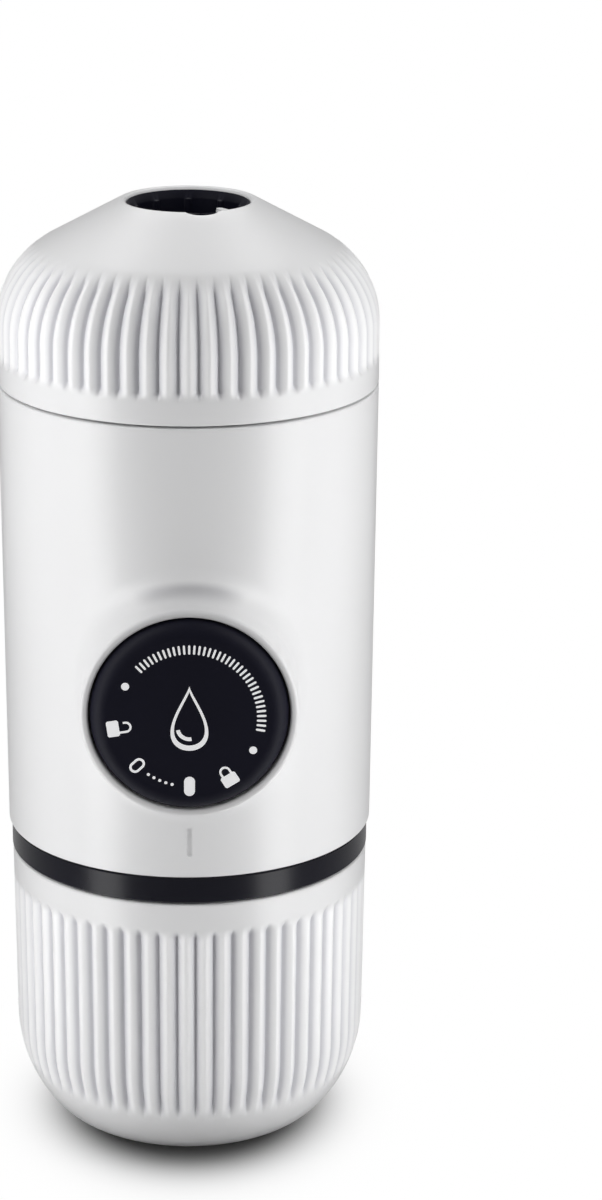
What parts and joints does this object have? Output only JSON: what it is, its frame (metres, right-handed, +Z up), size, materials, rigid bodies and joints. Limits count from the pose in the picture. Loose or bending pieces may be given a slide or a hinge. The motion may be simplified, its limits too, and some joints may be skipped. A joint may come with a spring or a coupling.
{
  "type": "handheld manual espresso maker",
  "caption": "Handheld hand-pumped espresso maker with ribbed slip-on cup, threaded water tank, push-button pump in a plain body, filter basket and ribbed dome head with an outlet hole.",
  "frame": {"origin": "centre of the flat foot of the cup, on the surface that it stands on", "axes": "+Z up along the maker, towards the outlet hole; -Y towards the front of the pump button"},
  "size_m": [0.0616, 0.0709, 0.1573],
  "materials": {
    "white_plastic": "fine satin",
    "dark_plastic": "fine satin",
    "black_plastic": "moulded",
    "grey_plastic": "moulded",
    "steel": "brushed",
    "black_rubber": "matt",
    "clear_hose": "milky silicone"
  },
  "bodies": {
    "cup": {"cup": "white_plastic"},
    "tank": {"water_tank": "dark_plastic", "cup_grip_ring": "black_rubber"},
    "tank_seal": {"tank_seal": "black_rubber"},
    "main_body": {"base_adaptor": "black_plastic", "inlet_strainer": "steel", "vent_valve": "black_rubber", "body_shell": "white_plastic", "tie_screws": "steel", "piston_guide": "black_plastic", "cylinder_flange": "grey_plastic", "flange_screws": "steel", "spring_washer": "steel", "return_spring": "steel", "pump_cylinder": "grey_plastic", "rod_gland": "black_plastic", "gland_seal": "black_rubber", "valve_block": "black_plastic", "block_screws": "steel", "block_seal": "black_rubber", "inlet_fitting": "black_plastic", "outlet_fitting": "black_plastic", "inlet_seat": "black_rubber", "outlet_seat": "black_rubber", "inlet_spring": "steel", "outlet_spring": "steel", "suction_hose": "clear_hose", "delivery_hose": "clear_hose", "hose_clips": "steel", "brew_head": "black_plastic", "brew_gasket": "black_rubber", "shower_screen": "steel", "shower_screw": "steel", "head_seal": "black_rubber"},
    "inlet_ball": {"inlet_ball": "steel"},
    "outlet_ball": {"outlet_ball": "steel"},
    "piston": {"piston_rod": "steel", "piston_cup_seal": "black_rubber", "piston_end_nut": "steel", "knob_screw": "steel"},
    "knob": {"knob_cap": "dark_plastic", "knob_face": "dark_plastic", "knob_lock_ring": "black_plastic"},
    "basket": {"filter_basket": "steel", "basket_screen": "steel"},
    "nozzle_seal": {"nozzle_seal": "black_rubber"},
    "outlet_head": {"head_shell": "white_plastic", "portafilter_core": "black_plastic", "crema_valve": "black_rubber", "nozzle": "black_plastic", "core_screws": "steel"}
  },
  "joints": [
    {"name": "maker_lift", "type": "slide", "parent": "cup", "child": "tank", "axis": [0, 0, 1], "range_m": [0, 0.045]},
    {"name": "tank_rise", "type": "slide", "parent": "tank", "child": "tank_seal", "axis": [0, 0, 1], "range_m": [0, 0.009]},
    {"name": "tank_turn", "type": "hinge", "parent": "tank_seal", "child": "main_body", "pos_m": [0, 0, 0.0532], "axis": [0, 0, 1], "range_deg": [0, 541]},
    {"name": "piston_stroke", "type": "slide", "parent": "main_body", "child": "piston", "axis": [0, -1, 0], "range_m": [0, 0.02], "deforming": ["return_spring"]},
    {"name": "lock_turn", "type": "hinge", "parent": "piston", "child": "knob", "pos_m": [0, -0.03, 0.0839], "axis": [0, -1, 0], "range_deg": [0, 45]},
    {"name": "inlet_ball_lift", "type": "slide", "parent": "main_body", "child": "inlet_ball", "axis": [0, 0, 1], "range_m": [0, 0.0012], "stiffness_N_per_m": 20, "springref_m": -0.0005, "deforming": ["inlet_spring"]},
    {"name": "outlet_ball_lift", "type": "slide", "parent": "main_body", "child": "outlet_ball", "axis": [0, 0, 1], "range_m": [0, 0.0012], "stiffness_N_per_m": 20, "springref_m": -0.0005, "deforming": ["outlet_spring"]},
    {"name": "basket_lift", "type": "slide", "parent": "main_body", "child": "basket", "axis": [0, 0, 1], "range_m": [0, 0.03]},
    {"name": "head_rise", "type": "slide", "parent": "basket", "child": "nozzle_seal", "axis": [0, 0, 1], "range_m": [0, 0.0075]},
    {"name": "head_turn", "type": "hinge", "parent": "nozzle_seal", "child": "outlet_head", "pos_m": [0, 0, 0.128], "axis": [0, 0, 1], "range_deg": [0, 451]}
  ],
  "couplings": [
    {"joint": "tank_turn", "follows": "tank_rise", "rad_per_m": 1047.2},
    {"joint": "head_turn", "follows": "head_rise", "rad_per_m": 1047.2}
  ]
}
